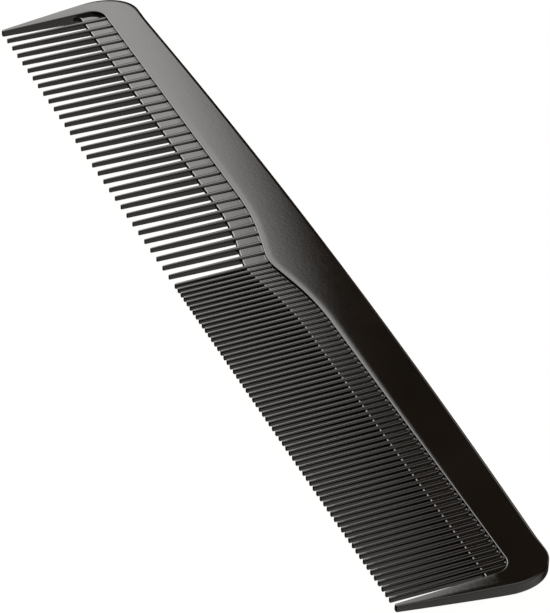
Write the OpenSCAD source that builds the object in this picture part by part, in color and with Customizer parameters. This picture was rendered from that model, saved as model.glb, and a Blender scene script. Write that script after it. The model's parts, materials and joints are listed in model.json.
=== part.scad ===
// Two-zone styling comb: arched spine, a guard tooth at each end,
// widely spaced teeth on one half, closely spaced teeth on the other.
// The comb lies flat: X along the comb towards the fine teeth, Y from the tips
// to the spine, Z up through the thickness. Millimetres.

/* [Overall] */
// overall length
comb_len = 178; // [120:1:240]
// overall height, tips to the top of the arch
comb_h = 28; // [22:0.5:45]
// thickness of the flat body
body_t = 2.2; // [1.8:0.1:5]
// radius of the arched top edge
arch_r = 1950; // [600:50:4000]

/* [Spine] */
// height of the ledge above the tips
ledge_h = 19.5; // [16:0.1:26]
// how far the ledge dips at the nose between the two zones
nose_drop = 2.65; // [0:0.05:5]
// offset of the nose from mid-length
nose_x = 0.2; // [-5:0.05:5]
// slope of the nose flanks in degrees
nose_deg = 12.5; // [5:0.5:25]
// radius at the bottom of the nose
nose_r = 11; // [3:0.1:20]
// radius where the nose meets the straight ledge
blend_r = 58; // [10:1:80]
// radius of the inner corners between ledge and guards
corner_r = 2; // [1:0.1:4]

/* [Ends] */
// height of the widest point of the ends above the tips
wide_h = 18.6; // [15:0.1:25]
// length of the rounded outer corner along the comb
corner_len = 6; // [2:0.1:10]
// roundness exponent of the outer corner
corner_n = 2.3; // [1.6:0.1:4]
// how far each end leans in at the tips
end_lean = 2.6; // [0:0.1:6]
// inner face of the coarse guard, from mid-length
coarse_guard_x = 85.7; // [70:0.05:100]
// inner face of the fine guard, from mid-length
fine_guard_x = 85.65; // [70:0.05:100]
// thickness of the guards at their tips
guard_tip_t = 1.24; // [0.8:0.02:2.4]
// size of the chamfer at each guard tip
guard_tip_c = 0.25; // [0:0.05:0.4]

/* [Teeth] */
// offset of the first fine tooth from mid-length
teeth_x = -0.2; // [-5:0.05:5]
// number of coarse teeth
coarse_n = 30; // [10:1:30]
// number of fine teeth, a multiple of the group size
fine_n = 65; // [10:5:65]
// coarse tooth pitch
coarse_pitch = 2.766; // [2:0.0005:4]
// fine tooth pitch
fine_pitch = 1.3165; // [1:0.0005:2]
// coarse tooth width at the tip
coarse_tip_w = 0.4; // [0.3:0.01:1.5]
// coarse tooth width at the ledge
coarse_top_w = 0.96; // [0.5:0.01:1.8]
// fine tooth width at the tip
fine_tip_w = 0.54; // [0.3:0.01:0.8]
// fine tooth width at the ledge
fine_top_w = 0.8; // [0.4:0.01:0.9]
// depth of every tooth, front to back, at the tip
tip_d = 0.92; // [0.5:0.01:2]
// depth of a coarse tooth at the ledge
coarse_top_d = 1.44; // [0.8:0.01:2]
// depth of a fine tooth at the ledge
fine_top_d = 1.44; // [0.8:0.01:2]
// share of a tooth's width taken by its flat front and back edges
edge_share = 0.35; // [0.1:0.05:0.8]
// share of a tooth's depth taken by its flat flanks
side_share = 0.55; // [0.3:0.05:0.9]

/* [Web] */
// height of the gap roots above the tips
root_h = 15.2; // [12:0.1:20]
// dip of the gap roots under the nose
root_drop = 2.45; // [0:0.05:5]
// thickness of the web between the teeth
web_t = 0.9; // [0.4:0.02:1.2]
// rounding between the gap root and the coarse guard
coarse_fillet = 1.2; // [0.2:0.1:2]
// rounding between the gap root and the fine guard
fine_fillet = 0.7; // [0.2:0.1:1]

/* [Hidden] */
group_n = 5;
hl = comb_len / 2;
y0 = -comb_h / 2;
zc = body_t / 2;
y_ledge = y0 + ledge_h;
y_root = y0 + root_h;
y_wide = y0 + wide_h;
y_split = y_ledge - corner_r;
sx = hl - corner_len;
function arch(x) = comb_h / 2 - x * x / (2 * arch_r);
function two(i) = str(i < 10 ? "0" : "", i);
fine_groups = fine_n / group_n;

// nose profile: 1 at its bottom, 0 on the straight ledge
// built from a bottom arc, a straight flank and a blending arc
flank_fall = nose_drop - (nose_r + blend_r) * (1 - cos(nose_deg));
nx1 = nose_r * sin(nose_deg);
nx2 = nx1 + flank_fall / tan(nose_deg);
nx3 = nx2 + blend_r * sin(nose_deg);
function rise(d) =
    d < nx1 ? nose_r - sqrt(nose_r * nose_r - d * d) :
    d < nx2 ? nose_r * (1 - cos(nose_deg)) + (d - nx1) * tan(nose_deg) :
    d < nx3 ? nose_drop - (blend_r - sqrt(blend_r * blend_r - (nx3 - d) * (nx3 - d))) :
    nose_drop;
function dip(x) = (nose_drop - rise(abs(x - nose_x))) / nose_drop;
// the ledge: straight, with the nose, and rounded down into the two guards
xa = corner_r - coarse_guard_x;
xb = fine_guard_x - corner_r;
function ledge(x) =
    x < xa ? y_split + sqrt(max(0, corner_r * corner_r - (x - xa) * (x - xa))) :
    x > xb ? y_split + sqrt(max(0, corner_r * corner_r - (x - xb) * (x - xb))) :
    y_ledge - nose_drop * dip(x);
function root(x) = y_root - root_drop * dip(x);

// outline of the ends: half length at height y below the widest point
function lean(y) = hl - end_lean * pow((y_wide - y) / (y_wide - y0), 1.1);
// tooth centres and widths; index 0 is the first fine tooth
function coarse_x(i) = teeth_x - coarse_pitch * i;
function fine_x(i) = teeth_x + fine_pitch * (i - 1);
// every tooth edge along the ledge, from the coarse end to the fine end
tooth_edges = concat(
    [for (i = [coarse_n : -1 : 1], s = [-1, 1]) coarse_x(i) + s * coarse_top_w / 2],
    [for (i = [1 : fine_n], s = [-1, 1]) fine_x(i) + s * fine_top_w / 2]);
corner_steps = 12;
// inner corner arc from the guard face up to the ledge, as far as the tooth edge xe
function corner(side, xg, xe) = [for (i = [0 : corner_steps])
    let (t = 90 * i / corner_steps, x = xg - corner_r + corner_r * cos(t))
    if (x > xe + 0.05) [side * x, y_split + corner_r * sin(t)]];
coarse_end_edge = coarse_pitch * coarse_n - teeth_x + coarse_top_w / 2;
fine_end_edge = fine_x(fine_n) + fine_top_w / 2;
coarse_corner = corner(-1, coarse_guard_x, coarse_end_edge);
fine_corner = corner(1, fine_guard_x, fine_end_edge);
function rev(v) = [for (i = [len(v) - 1 : -1 : 0]) v[i]];

// upper end outline from the widest point to the top edge
end_steps = 14;
cy = arch(sx) - y_wide;
function end_arc(side) = [for (i = [0 : end_steps])
    let (t = 90 * i / end_steps,
         c = pow(cos(t), 2 / corner_n), s = pow(sin(t), 2 / corner_n))
    [side * (sx + corner_len * c), y_wide + cy * s]];
arch_steps = 48;
arch_pts = [for (i = [1 : arch_steps - 1]) let (x = sx - 2 * sx * i / arch_steps) [x, arch(x)]];
lean_steps = 8;
// lower end outline of the spine, between the split line and the widest point
function spine_side(side) = [for (i = [0 : 2])
    let (y = y_split + (y_wide - y_split) * i / 3) [side * lean(y), y]];

spine_outline = concat(
    spine_side(1), end_arc(1), arch_pts, rev(end_arc(-1)), rev(spine_side(-1)),
    coarse_corner,
    [for (x = tooth_edges) if (abs(x - nose_x) < nx3 + 2 || x < xa + 1 || x > xb - 1)
        [x, ledge(x)]],
    rev(fine_corner));

module spine() {
    color([0.10, 0.09, 0.08])
        linear_extrude(height = body_t) polygon(spine_outline);
}

// a guard tooth, tapered in thickness from the spine to its tip
module guard(side, xg) {
    color([0.12, 0.11, 0.10]) intersection() {
        linear_extrude(height = body_t) polygon(concat(
            [[side * xg, y_split], [side * xg, y0 + guard_tip_c],
             [side * (xg + guard_tip_c), y0],
             [side * (lean(y0) - guard_tip_c), y0]],
            [for (i = [0 : lean_steps])
                let (y = y0 + guard_tip_c + (y_split - y0 - guard_tip_c) * i / lean_steps)
                [side * lean(y), y]]));
        translate([side * hl, 0, 0]) rotate([90, 0, 90])
            linear_extrude(height = 20, center = true) polygon([
                [y_split, 0], [y_split, body_t],
                [y0, zc + guard_tip_t / 2], [y0, zc - guard_tip_t / 2]]);
    }
}

// a tapered tooth: flat flanks, bevelled to narrower front and back edges;
// its upper end follows the ledge
module tooth(x, tip_w, top_w, top_d) {
    yl = ledge(x - top_w / 2);
    yr = ledge(x + top_w / 2);
    k = (yr - yl) / top_w;
    ym = (yl + yr) / 2;
    function ring(w, h) = let (a = w * edge_share, m = h * side_share) [
        [a, h], [w, m], [w, -m], [a, -h], [-a, -h], [-w, -m], [-w, m], [-a, h]];
    lo = ring(tip_w / 2, tip_d / 2);
    hi = ring(top_w / 2, top_d / 2);
    polyhedron(
        points = concat(
            [for (p = lo) [x + p[0], y0, zc + p[1]]],
            [for (p = hi) [x + p[0], ym + k * p[0], zc + p[1]]]),
        faces = concat(
            [[7, 6, 5, 4, 3, 2, 1, 0]],
            [[8, 9, 10, 11, 12, 13, 14, 15]],
            [for (i = [0 : 7]) [i, (i + 1) % 8, 8 + (i + 1) % 8]],
            [for (i = [0 : 7]) [i, 8 + (i + 1) % 8, 8 + i]]));
}

module coarse_tooth(i) {
    color([0.13, 0.12, 0.11])
        tooth(coarse_x(i), coarse_tip_w, coarse_top_w, coarse_top_d);
}

module fine_group(g) {
    color([0.14, 0.13, 0.12])
        for (j = [1 : group_n])
            tooth(fine_x((g - 1) * group_n + j), fine_tip_w, fine_top_w, fine_top_d);
}

// half width of a tooth at height y
function hw(tip_w, top_w, x, y) =
    (tip_w + (top_w - tip_w) * (y - y0) / (ledge(x) - y0)) / 2;

// one web plate between the flank of the tooth at xa and that of the tooth at xb
module plate(pts) {
    translate([0, 0, zc - web_t / 2]) linear_extrude(height = web_t) polygon(pts);
}
// the two points of a tooth flank: at the gap root and at the ledge
function flank(x, tip_w, top_w, side) =
    let (xt = x + side * top_w / 2, yt = ledge(xt),
         xb0 = x + side * hw(tip_w, top_w, x, root(x)),
         yb = root(xb0),
         xb = x + side * (tip_w + (top_w - tip_w) * (yb - y0) / (yt - y0)) / 2)
    [[xb, yb], [xt, yt]];

// rounded foot of the web against a guard, from the guard face to the gap root
function foot(side, xg, r) = [for (i = [0 : 6]) let (t = 90 * i / 6)
    [side * (xg - r + r * cos(t)), y_root - r + r * sin(t)]];

module coarse_web() {
    color([0.16, 0.15, 0.14]) {
        f1 = flank(coarse_x(coarse_n), coarse_tip_w, coarse_top_w, -1);
        plate(concat(rev(foot(-1, coarse_guard_x, coarse_fillet)),
            coarse_corner, [f1[1], f1[0]]));
        for (i = [coarse_n : -1 : 1]) {
            a = flank(coarse_x(i), coarse_tip_w, coarse_top_w, 1);
            b = i > 1 ? flank(coarse_x(i - 1), coarse_tip_w, coarse_top_w, -1)
                      : flank(fine_x(1), fine_tip_w, fine_top_w, -1);
            plate([a[0], a[1], b[1], b[0]]);
        }
    }
}

module fine_web() {
    color([0.16, 0.15, 0.14]) {
        for (i = [1 : fine_n - 1]) {
            a = flank(fine_x(i), fine_tip_w, fine_top_w, 1);
            b = flank(fine_x(i + 1), fine_tip_w, fine_top_w, -1);
            plate([a[0], a[1], b[1], b[0]]);
        }
        f1 = flank(fine_x(fine_n), fine_tip_w, fine_top_w, 1);
        plate(concat(rev(foot(1, fine_guard_x, fine_fillet)),
            fine_corner, [f1[1], f1[0]]));
    }
}

spine();
guard(-1, coarse_guard_x);  // coarse_guard
guard(1, fine_guard_x);  // fine_guard
for (i = [1 : coarse_n])
    coarse_tooth(i);
for (g = [1 : fine_groups])
    fine_group(g);
coarse_web();
fine_web();
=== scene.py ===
"""Visual model of a flat styling comb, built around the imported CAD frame.

Axes: +X along the comb towards the fine teeth, +Y from the tips to the spine, +Z up out of
the front face. Lengths are in millimetres, and MM turns them to metres where meshes are made.
"""
import json
import math

import bpy
import numpy as np
from mathutils import Matrix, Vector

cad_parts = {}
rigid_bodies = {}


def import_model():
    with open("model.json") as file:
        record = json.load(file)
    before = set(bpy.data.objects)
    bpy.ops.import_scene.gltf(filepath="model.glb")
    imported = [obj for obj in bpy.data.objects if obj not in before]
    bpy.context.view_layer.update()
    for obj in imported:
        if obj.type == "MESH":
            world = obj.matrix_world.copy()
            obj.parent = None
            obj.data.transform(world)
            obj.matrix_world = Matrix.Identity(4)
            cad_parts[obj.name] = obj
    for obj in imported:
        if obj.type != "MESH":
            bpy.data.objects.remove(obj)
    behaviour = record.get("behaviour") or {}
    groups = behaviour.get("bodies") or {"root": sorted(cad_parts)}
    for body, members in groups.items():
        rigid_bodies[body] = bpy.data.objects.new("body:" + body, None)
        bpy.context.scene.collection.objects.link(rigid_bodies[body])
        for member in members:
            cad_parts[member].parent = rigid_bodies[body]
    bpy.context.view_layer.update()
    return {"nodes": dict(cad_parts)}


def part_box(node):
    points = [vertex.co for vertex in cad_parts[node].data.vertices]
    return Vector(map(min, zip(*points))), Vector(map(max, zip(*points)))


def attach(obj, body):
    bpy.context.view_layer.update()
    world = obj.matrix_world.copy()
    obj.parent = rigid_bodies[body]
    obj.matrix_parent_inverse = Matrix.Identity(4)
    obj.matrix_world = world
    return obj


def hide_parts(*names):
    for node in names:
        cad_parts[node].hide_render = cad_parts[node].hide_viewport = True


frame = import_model()
MM = 0.001

# ---------------------------------------------------------------- sizes from the frame


def box_mm(node):
    lo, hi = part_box(node)
    return np.array(lo) / MM, np.array(hi) / MM


spine_lo, spine_hi = box_mm("spine")
cg_lo, cg_hi = box_mm("coarse_guard")
fg_lo, fg_hi = box_mm("fine_guard")
COARSE = sorted(n for n in frame["nodes"] if n.startswith("coarse_tooth_"))
FINE = sorted(n for n in frame["nodes"] if n.startswith("fine_teeth_"))
PER_GROUP = 5                           # fine teeth to a node

HALF = spine_hi[0]                      # half the overall length
Y_TIP = cg_lo[1]                        # the line of the tooth tips
Y_SPLIT = spine_lo[1]                   # where guards meet the spine
ZC = 0.5 * (spine_lo[2] + spine_hi[2])  # mid-plane
T2 = spine_hi[2] - ZC                   # half the body's thickness
GUARD_C = -cg_hi[0]                     # inner faces of the guards
GUARD_F = fg_lo[0]
far_lo, far_hi = box_mm(COARSE[len(COARSE) // 2])
Y_LEDGE = far_hi[1]                     # the spine's inner edge, away from the nose
COARSE_TOP_W = far_hi[0] - far_lo[0]    # a tooth's width and depth at the ledge
COARSE_TOP_D = far_hi[2] - far_lo[2]
group_lo, group_hi = box_mm(FINE[len(FINE) // 2])
FINE_TOP_D = group_hi[2] - group_lo[2]
web_lo, web_hi = box_mm("coarse_web")
WEB2 = 0.5 * (web_hi[2] - web_lo[2])    # half the web's thickness
CORNER_R = Y_LEDGE - Y_SPLIT            # inner corner between ledge and guard

# shape constants, the same as in the CAD source
FINE_TOP_W = 0.8                        # a fine tooth's width at the ledge
COARSE_TIP_W, FINE_TIP_W, TIP_D = 0.4, 0.54, 0.92
ARCH_R = 1950.0                         # radius of the arched top edge
NOSE_DROP, NOSE_X = 2.65, 0.2           # the nose: how far it drops, and where
NOSE_DEG, NOSE_R, BLEND_R = 12.5, 11.0, 58.0    # its flanks' slope, its tip and its ends
Y_WIDE = 18.6 + Y_TIP                   # where the comb is longest
CORNER_LEN, CORNER_N = 6.0, 2.3         # outer corners: length, superellipse power
LEAN, LEAN_POWER = 2.6, 1.1             # how far the ends lean in towards the tips
GUARD_TIP2 = 0.62                       # half the guards' thickness at their tips
Y_ROOT, ROOT_DROP = 15.2 + Y_TIP, 2.45  # the web's lower edge, and its drop under the nose
COARSE_FOOT, FINE_FOOT = 1.2, 0.7       # rounded feet of the web against the guards
SX = HALF - CORNER_LEN

# the nose's profile: tip arc up to NX1, straight flank up to NX2, blend arc up to NX3
NOSE_VERSINE = 1 - math.cos(math.radians(NOSE_DEG))
NOSE_TAN = math.tan(math.radians(NOSE_DEG))
NOSE_SIN = math.sin(math.radians(NOSE_DEG))
NX1 = NOSE_R * NOSE_SIN
NX2 = NX1 + (NOSE_DROP - (NOSE_R + BLEND_R) * NOSE_VERSINE) / NOSE_TAN
NX3 = NX2 + BLEND_R * NOSE_SIN


def nose(x):
    """1 at the bottom of the nose, 0 on the straight ledge."""
    d = np.abs(np.asarray(x, float) - NOSE_X)
    a = NOSE_R - np.sqrt(np.maximum(NOSE_R ** 2 - np.minimum(d, NX1) ** 2, 0))
    b = NOSE_R * NOSE_VERSINE + (d - NX1) * NOSE_TAN
    e = np.clip(NX3 - d, 0, NX3 - NX2)
    c = NOSE_DROP - (BLEND_R - np.sqrt(BLEND_R ** 2 - e ** 2))
    r = np.where(d < NX1, a, np.where(d < NX2, b, c))
    return (NOSE_DROP - np.minimum(r, NOSE_DROP)) / NOSE_DROP


def ledge(x):
    """The spine's inner edge, with the nose and the rounded inner corners."""
    x = np.asarray(x, float)
    y = Y_LEDGE - NOSE_DROP * nose(x)
    for side, g in ((-1, GUARD_C), (1, GUARD_F)):
        e = side * x - (g - CORNER_R)
        y = np.where(e > 0, Y_SPLIT + np.sqrt(np.maximum(
            CORNER_R ** 2 - np.minimum(e, CORNER_R) ** 2, 0)), y)
    return y


def root(x):
    """The web's lower edge."""
    return Y_ROOT - ROOT_DROP * nose(x)


def arch(x):
    """The spine's top edge."""
    return spine_hi[1] - np.asarray(x, float) ** 2 / (2 * ARCH_R)


def lean(y):
    """Half the comb's length at height y, below its widest line."""
    return HALF - LEAN * (np.maximum(Y_WIDE - y, 0) / (Y_WIDE - Y_TIP)) ** LEAN_POWER


def smooth(t):
    t = np.clip(t, 0, 1)
    return t * t * (3 - 2 * t)


def half_thickness(y):
    """Half thickness of the flat body above the split, tapering guards below it."""
    f = np.maximum(Y_SPLIT - y, 0) / (Y_SPLIT - Y_TIP)
    return T2 + (GUARD_TIP2 - T2) * f


# ---------------------------------------------------------------- mesh helpers


def make(name, verts, faces, replaces, normals=None):
    me = bpy.data.meshes.new(name)
    me.from_pydata((np.asarray(verts) * MM).tolist(), [], faces)
    me.validate(clean_customdata=False)
    me.shade_smooth()
    if normals is not None:
        me.normals_split_custom_set_from_vertices(np.asarray(normals).tolist())
    me.update()
    ob = bpy.data.objects.new(name, me)
    bpy.context.scene.collection.objects.link(ob)
    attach(ob, "root")
    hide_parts(*replaces)
    return ob


def grid_faces(rows, cols):
    """Quads between successive closed rings of `cols` points."""
    out = []
    for r in range(rows - 1):
        for c in range(cols):
            d, a = (c + 1) % cols, r * cols
            out.append((a + c, a + d, a + cols + d, a + cols + c))
    return out


# ---------------------------------------------------------------- body: spine and guards


def resample(pts, n):
    """n points evenly spaced along a polyline."""
    pts = np.asarray(pts, float)
    s = np.concatenate([[0], np.cumsum(np.linalg.norm(np.diff(pts, axis=0), axis=1))])
    q = np.linspace(0, s[-1], n)
    return np.stack([np.interp(q, s, pts[:, 0]), np.interp(q, s, pts[:, 1])], 1)


def outer_end():
    """The coarse end's outline from the split line up to the arched top edge."""
    ys = np.linspace(Y_SPLIT, Y_WIDE, 12)[:-1]
    low = np.stack([-lean(ys), ys], 1)
    t = np.radians(np.linspace(0, 90, 160))
    c, s = np.cos(t) ** (2 / CORNER_N), np.sin(t) ** (2 / CORNER_N)
    cy = float(arch(SX)) - Y_WIDE
    up = np.stack([-(SX + CORNER_LEN * c), Y_WIDE + cy * s - SX / ARCH_R * CORNER_LEN * c * s], 1)
    return np.concatenate([low, up])


def stations():
    """Matching points on the inner and outer outlines, from the coarse tip to the fine tip."""
    n_g, n_c = 26, 26                   # stations on a guard and round a corner
    tip_r = 0.24                        # rounding of a guard's tip
    al = np.radians([90, 68, 45, 22])
    y_tip = Y_TIP + tip_r * (1 - np.sin(al))
    inset_tip = tip_r * (1 - np.cos(al))
    y_g = np.concatenate([y_tip, np.linspace(Y_TIP + tip_r, Y_SPLIT, n_g)])
    inset = np.concatenate([inset_tip, np.zeros(n_g)])

    def guard(side, g):
        return (np.stack([np.full_like(y_g, side * g), y_g], 1),
                np.stack([side * lean(y_g), y_g], 1))

    th = np.radians(np.linspace(0, 90, n_c))

    def corner(side, g):
        return np.stack([side * (g - CORNER_R + CORNER_R * np.cos(th)),
                         Y_SPLIT + CORNER_R * np.sin(th)], 1)

    out_c = resample(outer_end(), n_c)
    out_f = out_c * [-1, 1]
    x0, x1 = -(GUARD_C - CORNER_R), GUARD_F - CORNER_R
    # stations along the straight part, closer together at the nose
    side_n = np.linspace(x0, NOSE_X - NX3 - 1, 26)[:-1]
    mid_n = np.linspace(NOSE_X - NX3 - 1, NOSE_X + NX3 + 1, 90)
    side_f = np.linspace(NOSE_X + NX3 + 1, x1, 26)[1:]
    xs = np.concatenate([side_n, mid_n, side_f])[1:-1]
    xo = (xs - x0) / (x1 - x0) * 2 * SX - SX
    gi, go = guard(-1, GUARD_C)
    fi, fo = guard(1, GUARD_F)
    ci, cf = corner(-1, GUARD_C), corner(1, GUARD_F)
    inner = np.concatenate([gi, ci[1:], np.stack([xs, ledge(xs)], 1), cf[::-1], fi[::-1][1:]])
    outer = np.concatenate([go, out_c[1:], np.stack([xo, arch(xo)], 1), out_f[::-1], fo[::-1][1:]])
    n_mid = len(ci) - 1 + len(xs) + len(cf) - 1
    ins = np.concatenate([inset, np.zeros(n_mid), inset[::-1]])
    first = len(gi) - 1
    last = len(inner) - len(fi)
    return inner, outer, ins, first, last


def outline_normals(p, inward):
    """Unit normals of an outline, on the side that `inward` points to."""
    d = np.gradient(p, axis=0)
    n = np.stack([-d[:, 1], d[:, 0]], 1)
    n /= np.maximum(np.linalg.norm(n, axis=1), 1e-9)[:, None]
    return n * np.sign((n * inward).sum(1))[:, None]


EDGE_I, EDGE_END, EDGE_TOP = 0.16, 0.24, 0.9    # edge radii: ledge, ends, top of the spine
ROLL_S, ROLL_D = 0.019, 1.5             # the face dips towards the ledge: depth, reach
OUT_S, OUT_D = 0.03, 0.9                # and towards the outer edge
END_FADE = 7.0                          # the top's edge radius turns into the ends' over this
AWAY = 9.0                              # a distance beyond the reach of either dip


def build_body():
    inner, outer, inset, first, last = stations()
    across = outer - inner
    width = np.linalg.norm(across, axis=1)
    n_i = outline_normals(inner, across)
    n_o = outline_normals(outer, -across)
    # on the guards both edges offset straight along X
    for k in range(len(inner)):
        if k <= first or k >= last:
            n_i[k] = (np.sign(across[k, 0]), 0)
            n_o[k] = -n_i[k]
    arc = np.radians([0, 11, 22, 33, 45, 57, 68, 79, 90])
    # shares of the way from the end of the edge rounding to the end of the roll
    lead_i = np.array([0.026, 0.104, 0.216, 0.35, 0.507, 0.709, 1.0])
    lead_o = np.array([0.114, 0.59, 1.0])
    mids = np.linspace(0, 1, 12)[1:-1]
    wall = np.array([-0.9, -0.45, 0, 0.45, 0.9])    # shares of the half height of an edge
    rings = []
    for k in range(len(inner)):
        w = width[k] - 2 * inset[k]
        f = min(1.0, 0.42 * w / ROLL_D)
        end = float(smooth((abs(outer[k, 0]) - SX + 4) / END_FADE))
        # i is the inner side and o the outer: edge radius r, dip's reach d and depth s
        ri = min(EDGE_I, 0.3 * w)
        ro = min(EDGE_TOP + (EDGE_END - EDGE_TOP) * end, 0.3 * w)
        di = max(ROLL_D * f, ri * 1.05)
        do = max(min(OUT_D, 0.4 * w), ro * 1.05)
        si, so = ROLL_S * f ** 1.3, OUT_S * min(1.0, 0.4 * w / OUT_D)
        I = inner[k] + n_i[k] * inset[k]
        O = outer[k] + n_o[k] * inset[k]

        def point(q, d_i, d_o, drop):
            """Plan position and height of a point d_i and d_o from the two edges."""
            s = si * max(0.0, 1 - d_i / di) ** 3 + so * max(0.0, 1 - d_o / do) ** 2
            h = float(half_thickness(q[1])) - inset[k] - s - drop
            return (q[0], q[1], h)

        front = []
        for a in arc:
            d = ri * (1 - math.cos(a))
            front.append(point(I + n_i[k] * d, d, AWAY, ri * (1 - math.sin(a))))
        for d in ri + (di - ri) * lead_i:
            front.append(point(I + n_i[k] * d, d, AWAY, 0))
        A = I + n_i[k] * di
        B = O + n_o[k] * do
        for m in mids:
            front.append(point(A + (B - A) * m, AWAY, AWAY, 0))
        for d in (ro + (do - ro) * lead_o)[::-1]:
            front.append(point(O + n_o[k] * d, AWAY, d, 0))
        for a in arc[::-1]:
            d = ro * (1 - math.cos(a))
            front.append(point(O + n_o[k] * d, AWAY, d, ro * (1 - math.sin(a))))
        front = np.array(front)
        h_o, h_i = front[-1, 2], front[0, 2]
        ring = [(*p[:2], ZC + p[2]) for p in front]
        ring += [(*O, ZC - v * h_o) for v in wall]
        ring += [(*p[:2], ZC - p[2]) for p in front[::-1]]
        ring += [(*I, ZC + v * h_i) for v in wall]
        rings.append(ring[::-1])
    return np.array(rings), first, last


def vertex_normals(verts, faces):
    """Area-weighted normals of a mesh of quads."""
    n = np.zeros_like(verts)
    fa = np.array(faces)
    a, b, c, d = (verts[fa[:, i]] for i in range(4))
    fn = np.cross(c - a, d - b)
    for i in range(4):
        np.add.at(n, fa[:, i], fn)
    return n / np.maximum(np.linalg.norm(n, axis=1), 1e-12)[:, None]


rings, FIRST, LAST = build_body()
N_RING = rings.shape[1]
all_v = rings.reshape(-1, 3)
all_n = vertex_normals(all_v, grid_faces(len(rings), N_RING))


def body_piece(name, r0, r1, replaces):
    """Rings r0..r1 of the body as a closed piece, shaded as one surface with its neighbours."""
    cnt = r1 - r0 + 1
    v = all_v[r0 * N_RING:(r1 + 1) * N_RING]
    f = grid_faces(cnt, N_RING)
    verts, norms = [v], [all_n[r0 * N_RING:(r1 + 1) * N_RING]]
    base = len(v)
    for row, step in ((0, 1), (cnt - 1, -1)):
        cap = v[row * N_RING:(row + 1) * N_RING]
        d = rings[r0 + row].mean(0) - rings[r0 + row + step].mean(0)
        verts.append(cap)
        norms.append(np.tile(d / np.linalg.norm(d), (N_RING, 1)))
        f.append(tuple(range(base, base + N_RING))[::-step])
        base += N_RING
    return make(name, np.concatenate(verts), f, replaces, np.concatenate(norms))


body_piece("coarse_guard_visual", 0, FIRST, ["coarse_guard"])
body_piece("spine_visual", FIRST, LAST, ["spine"])
body_piece("fine_guard_visual", LAST, len(rings) - 1, ["fine_guard"])

# ---------------------------------------------------------------- teeth


def section(w, h, full, n):
    """Half-section of a tooth, front to back: boxier the larger `full` is."""
    t = np.radians(np.linspace(90, -90, n))
    z = np.sign(np.sin(t)) * np.abs(np.sin(t)) ** (2 / full) * h
    x = np.abs(np.cos(t)) ** (2 / full) * w
    return np.stack([x, z], 1)


FULL_TIP, FULL_TOP = 5.0, 4.5           # section's superellipse power at the tip and the ledge
FULL_REACH = 0.6                        # share of the tooth over which it changes
TOOTH_TIP_R = 0.12
TOOTH_INTO = 0.35                       # how far a tooth runs on into the spine
N_HALF = 19                             # points in half a section


def tooth_mesh(x, tip_w, top_w, top_d):
    yl, yr = float(ledge(x - top_w / 2)), float(ledge(x + top_w / 2))
    slope = (yr - yl) / top_w
    y_top = 0.5 * (yl + yr)
    rows = [(Y_TIP + TOOTH_TIP_R * (1 - math.sin(a)), TOOTH_TIP_R * (1 - math.cos(a)))
            for a in np.radians([90, 60, 30, 0])]
    rows += [(float(y), 0.0) for y in np.linspace(Y_TIP + 1.2, y_top, 22)]
    rows.append((y_top + TOOTH_INTO, 0.0))
    verts = []
    for y, inset in rows:
        f = (y - Y_TIP) / (y_top - Y_TIP)
        w = 0.5 * (tip_w + (top_w - tip_w) * f) - inset
        h = 0.5 * (TIP_D + (top_d - TIP_D) * f) - inset
        full = FULL_TIP + (FULL_TOP - FULL_TIP) * float(smooth(f / FULL_REACH))
        half = section(w, h, full, N_HALF)
        ring = [(px, pz) for px, pz in half] + [(-px, pz) for px, pz in half[::-1][1:-1]]
        lean_up = float(smooth((f - 0.55) / 0.45))      # rows follow a sloping ledge near it
        verts += [(x + px, y + slope * px * lean_up, ZC + pz) for px, pz in ring]
    n_ring = 2 * N_HALF - 2
    faces = grid_faces(len(rows), n_ring)
    faces.append(tuple(range(n_ring))[::-1])
    faces.append(tuple(range((len(rows) - 1) * n_ring, len(rows) * n_ring)))
    return np.array(verts), faces


def joined(parts):
    """Several (vertices, faces) as one."""
    vs, fs, base = [], [], 0
    for v, f in parts:
        vs.append(v)
        fs += [tuple(base + i for i in q) for q in f]
        base += len(v)
    return np.concatenate(vs), fs


coarse_x, fine_x = [], []
for name in COARSE:
    lo, hi = box_mm(name)
    coarse_x.append(0.5 * (lo[0] + hi[0]))
    tooth = tooth_mesh(coarse_x[-1], COARSE_TIP_W, COARSE_TOP_W, COARSE_TOP_D)
    make(name + "_visual", *tooth, [name])
for name in FINE:
    lo, hi = box_mm(name)
    xs = np.linspace(lo[0] + FINE_TOP_W / 2, hi[0] - FINE_TOP_W / 2, PER_GROUP)
    fine_x += list(xs)
    teeth = [tooth_mesh(x, FINE_TIP_W, FINE_TOP_W, FINE_TOP_D) for x in xs]
    make(name + "_visual", *joined(teeth), [name])
coarse_x = sorted(coarse_x)
fine_x = sorted(fine_x)

# ---------------------------------------------------------------- web between the teeth


WEB_EMBED = 0.22                        # how far a plate reaches into the teeth beside it
WEB_INTO = 0.15                         # and into the spine
WEB_LOW_Y, WEB_LOW_Z = 0.3, 0.25        # reach of the rounded lower edge
WEB_FILLET = 0.12                       # fillet against the spine
WEB_COLS = 17


def flank(x, tip_w, top_w, y):
    """Half the width at y of the tooth at x."""
    f = (y - Y_TIP) / (float(ledge(x)) - Y_TIP)
    return 0.5 * (tip_w + (top_w - tip_w) * f)


def web_profile(y_lo, y_hi):
    """(y, rise above the flat) up the web's front, from its lower edge into the spine."""
    col = [(y_lo + WEB_LOW_Y * (1 - math.cos(a)), -WEB_LOW_Z * (1 - math.sin(a)))
           for a in np.radians([0, 20, 38, 52, 64, 76, 90])]
    y1, y2 = y_lo + WEB_LOW_Y, y_hi - WEB_FILLET
    # rows close to both ends keep the flat stretch shaded flat
    col += [(y1 + (y2 - y1) * s, 0.0) for s in (0.01, 0.25, 0.5, 0.75, 0.99, 1.0)]
    col += [(y2 + WEB_FILLET * math.sin(a), WEB_FILLET * (1 - math.cos(a)))
            for a in np.radians([25, 50, 75])]
    return col + [(y_hi + WEB_INTO, WEB_FILLET)]


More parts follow.
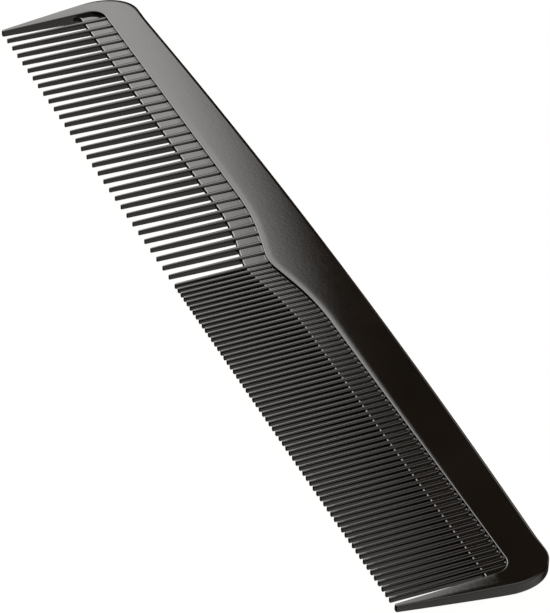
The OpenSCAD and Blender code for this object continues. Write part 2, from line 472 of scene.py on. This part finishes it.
def web_mesh(xl, wl, xr, wr, foot_l=0.0, foot_r=0.0):
    """One plate of web from the flank of the tooth at xl to that of the tooth at xr.
    wl and wr are (tip width, top width), or None at a guard's flat face; foot_l and foot_r
    are the radii that round the plate's lower edge down onto a guard."""

    def edges(y):
        return xl + (flank(xl, *wl, y) if wl else 0), xr - (flank(xr, *wr, y) if wr else 0)

    def across(l, r, u):
        return l - WEB_EMBED + (r - l + 2 * WEB_EMBED) * u

    front = []
    l0, r0 = edges(float(root(0.5 * (xl + xr))))
    for u in 0.5 - 0.5 * np.cos(np.pi * np.linspace(0, 1, WEB_COLS)):
        xm = across(l0, r0, u)
        y_lo = float(root(xm))
        for d, foot in ((max(xm - l0, 0), foot_l), (max(r0 - xm, 0), foot_r)):
            if d < foot:
                y_lo -= foot - math.sqrt(foot ** 2 - (foot - d) ** 2)
        y_hi = float(ledge(min(max(xm, -(GUARD_C - 0.02)), GUARD_F - 0.02)))
        l1, r1 = edges(y_hi)
        for y, rise in web_profile(y_lo, y_hi):
            f = (y - y_lo) / (y_hi - y_lo)
            front.append((across(l0 + (l1 - l0) * f, r0 + (r1 - r0) * f, u), y, WEB2 + rise))
    n_row = len(front) // WEB_COLS
    back = len(front)                   # the back's points follow the front's
    verts = [(x, y, ZC + z) for x, y, z in front] + [(x, y, ZC - z) for x, y, z in front]
    faces = []
    for i in range(WEB_COLS - 1):
        a, b = i * n_row, (i + 1) * n_row
        for j in range(n_row - 1):
            faces.append((a + j, b + j, b + j + 1, a + j + 1))
            faces.append((back + a + j, back + a + j + 1, back + b + j + 1, back + b + j))
        faces.append((a, back + a, back + b, b))
        a, b = a + n_row - 1, b + n_row - 1
        faces.append((a, b, back + b, back + a))
    far = (WEB_COLS - 1) * n_row
    for j in range(n_row - 1):
        faces.append((j, j + 1, back + j + 1, back + j))
        faces.append((far + j, back + far + j, back + far + j + 1, far + j + 1))
    return np.array(verts), faces


def web_row(xs, widths):
    """Plates between neighbouring teeth of one row."""
    return [web_mesh(a, widths, b, widths) for a, b in zip(xs, xs[1:])]


CW, FW = (COARSE_TIP_W, COARSE_TOP_W), (FINE_TIP_W, FINE_TOP_W)
parts = [web_mesh(-GUARD_C, None, coarse_x[0], CW, foot_l=COARSE_FOOT)]
parts += web_row(coarse_x, CW)
parts.append(web_mesh(coarse_x[-1], CW, fine_x[0], FW))
make("coarse_web_visual", *joined(parts), ["coarse_web"])
parts = web_row(fine_x, FW)
parts.append(web_mesh(fine_x[-1], FW, GUARD_F, None, foot_r=FINE_FOOT))
make("fine_web_visual", *joined(parts), ["fine_web"])

# ---------------------------------------------------------------- material


def node(nt, kind, **inputs):
    """A new shader node with the given inputs; _ stands for a space."""
    n = nt.nodes.new(kind)
    for k, v in inputs.items():
        n.inputs[k.replace("_", " ")].default_value = v
    return n


def plastic():
    """Polished black-brown moulded plastic: faint colour drift, uneven polish, fine waves."""
    m = bpy.data.materials.new("comb_plastic_visual")
    m.use_nodes = True
    nt = m.node_tree
    bsdf = nt.nodes["Principled BSDF"]
    bsdf.inputs["IOR"].default_value = 1.5
    pos = nt.nodes.new("ShaderNodeTexCoord").outputs["Object"]
    drift = node(nt, "ShaderNodeTexNoise", Scale=55.0, Detail=3.0, Roughness=0.5)
    nt.links.new(pos, drift.inputs["Vector"])
    ramp = nt.nodes.new("ShaderNodeValToRGB")
    ramp.color_ramp.elements[0].position = 0.35
    ramp.color_ramp.elements[0].color = (0.0075, 0.0055, 0.0040, 1)
    ramp.color_ramp.elements[1].position = 0.68
    ramp.color_ramp.elements[1].color = (0.0115, 0.0085, 0.0062, 1)
    nt.links.new(drift.outputs["Fac"], ramp.inputs["Fac"])
    nt.links.new(ramp.outputs["Color"], bsdf.inputs["Base Color"])
    polish = node(nt, "ShaderNodeTexNoise", Scale=420.0, Detail=4.0, Roughness=0.6)
    nt.links.new(pos, polish.inputs["Vector"])
    rough = nt.nodes.new("ShaderNodeMapRange")
    rough.inputs["To Min"].default_value = 0.03
    rough.inputs["To Max"].default_value = 0.06
    nt.links.new(polish.outputs["Fac"], rough.inputs["Value"])
    nt.links.new(rough.outputs["Result"], bsdf.inputs["Roughness"])
    wave = node(nt, "ShaderNodeTexNoise", Scale=1500.0, Detail=2.0, Roughness=0.5)
    nt.links.new(pos, wave.inputs["Vector"])
    bump = node(nt, "ShaderNodeBump", Strength=0.006, Distance=0.0002)
    nt.links.new(wave.outputs["Fac"], bump.inputs["Height"])
    nt.links.new(bump.outputs["Normal"], bsdf.inputs["Normal"])
    return m


PLASTIC = plastic()
for ob in bpy.data.objects:
    if ob.type == "MESH":
        ob.data.materials.clear()
        ob.data.materials.append(PLASTIC)

# ---------------------------------------------------------------- floor


def floor():
    """A plain white floor that glows a little below full white, so it takes no shadow."""
    me = bpy.data.meshes.new("floor")
    n, half_size, below = 24, 6.0, 0.00002      # points a side; metres
    g = np.linspace(-half_size, half_size, n)
    me.from_pydata([(x, y, -below) for y in g for x in g], [],
                   [(j * n + i, j * n + i + 1, (j + 1) * n + i + 1, (j + 1) * n + i)
                    for j in range(n - 1) for i in range(n - 1)])
    ob = bpy.data.objects.new("floor", me)
    bpy.context.scene.collection.objects.link(ob)
    m = bpy.data.materials.new("floor")
    m.use_nodes = True
    bsdf = m.node_tree.nodes["Principled BSDF"]
    bsdf.inputs["Base Color"].default_value = (0.03, 0.03, 0.03, 1)
    bsdf.inputs["Roughness"].default_value = 0.9
    bsdf.inputs["Specular IOR Level"].default_value = 0.0
    bsdf.inputs["Emission Color"].default_value = (1.0, 0.995, 0.985, 1)
    bsdf.inputs["Emission Strength"].default_value = 0.985
    me.materials.append(m)
    ob.visible_glossy = False           # reflections see the world below the horizon instead


floor()

# ---------------------------------------------------------------- light


def direction(az, el):
    """Unit vector: azimuth from -X towards +Y, elevation above the floor, in degrees."""
    a, e = math.radians(az), math.radians(el)
    return (-math.cos(a) * math.cos(e), math.sin(a) * math.cos(e), math.sin(e))


# soft round lights of the studio: azimuth, elevation, full inside, gone outside, level;
# fitted, then adjusted, so that the comb's reflections fall as on the real one
LIGHTS = [
    (-7.0, 39.5, 23.9, 25.8, 3.5),      # large soft box beyond the coarse end
    (-12.0, 35.0, 14.0, 22.0, 4.4),     # its bright middle
    (14.0, 0.0, 14.0, 22.0, 1.6),       # paler light low beside it
    (64.0, 12.0, 10.0, 24.0, 1.4),      # faint bounce behind the spine
    (110.0, 76.0, 16.0, 32.0, 1.0),     # weak overhead light
    (156.0, 40.0, 18.0, 42.0, 1.2),     # weak fill on the fine side
    (156.0, -38.0, 20.0, 55.0, 0.66),   # light coming back off the table
    (0.0, -90.0, 20.0, 60.0, 0.12),     # dim glow from straight below
]


def world():
    """The lights, seen by reflections and shading; the camera sees a plain backdrop."""
    w = bpy.data.worlds.new("studio")
    bpy.context.scene.world = w
    w.use_nodes = True
    nt = w.node_tree
    nt.nodes.clear()
    out = nt.nodes.new("ShaderNodeOutputWorld")
    pos = nt.nodes.new("ShaderNodeTexCoord").outputs["Generated"]

    def spot(az, el, full, dark, level):
        """A soft round light: full inside `full` degrees of its middle, gone at `dark` degrees."""
        dot = nt.nodes.new("ShaderNodeVectorMath")
        dot.operation = "DOT_PRODUCT"
        nt.links.new(pos, dot.inputs[0])
        dot.inputs[1].default_value = direction(az, el)
        mr = nt.nodes.new("ShaderNodeMapRange")
        mr.interpolation_type = "SMOOTHSTEP"
        mr.inputs["From Min"].default_value = math.cos(math.radians(dark))
        mr.inputs["From Max"].default_value = math.cos(math.radians(full))
        mr.inputs["To Max"].default_value = level
        nt.links.new(dot.outputs["Value"], mr.inputs["Value"])
        return mr.outputs["Result"]

    total = spot(*LIGHTS[0])
    for light in LIGHTS[1:]:
        add = nt.nodes.new("ShaderNodeMath")
        add.operation = "ADD"
        nt.links.new(total, add.inputs[0])
        nt.links.new(spot(*light), add.inputs[1])
        total = add.outputs["Value"]
    soft = nt.nodes.new("ShaderNodeBackground")
    soft.inputs["Color"].default_value = (1.0, 0.985, 0.96, 1)
    nt.links.new(total, soft.inputs["Strength"])
    plain = nt.nodes.new("ShaderNodeBackground")
    plain.inputs["Color"].default_value = (0.97, 0.97, 0.965, 1)
    mix = nt.nodes.new("ShaderNodeMixShader")
    ray = nt.nodes.new("ShaderNodeLightPath")
    nt.links.new(ray.outputs["Is Camera Ray"], mix.inputs["Fac"])
    nt.links.new(soft.outputs[0], mix.inputs[1])
    nt.links.new(plain.outputs[0], mix.inputs[2])
    nt.links.new(mix.outputs[0], out.inputs["Surface"])


world()

# ---------------------------------------------------------------- camera

LENS = 188.175                          # mm, on a 36 mm sensor
AIM = np.array((9.853, -0.169, 0.0))    # where the view's middle meets the floor
DISTANCE = 531.255
AZIMUTH, ELEVATION, ROLL = -24.1921, 36.5815, 1.2834    # degrees; azimuth from +X towards +Y

cam = bpy.data.cameras.new("camera")
cam.sensor_fit = "AUTO"
cam.sensor_width = 36.0
cam.lens = LENS
cam.clip_start = 0.01
camera = bpy.data.objects.new("camera", cam)
bpy.context.scene.collection.objects.link(camera)
az, el, roll = (math.radians(v) for v in (AZIMUTH, ELEVATION, ROLL))
back = np.array((math.cos(az) * math.cos(el), math.sin(az) * math.cos(el), math.sin(el)))
level = np.array((-math.sin(az), math.cos(az), 0.0))
right = level * math.cos(roll) + np.cross(back, level) * math.sin(roll)
up = np.cross(back, right)
pos = (AIM + back * DISTANCE) * MM
camera.matrix_world = Matrix([(right[i], up[i], back[i], pos[i]) for i in range(3)]
                             + [(0, 0, 0, 1)])
bpy.context.scene.camera = camera
bpy.context.scene.view_settings.view_transform = "Standard"

bpy.context.view_layer.update()
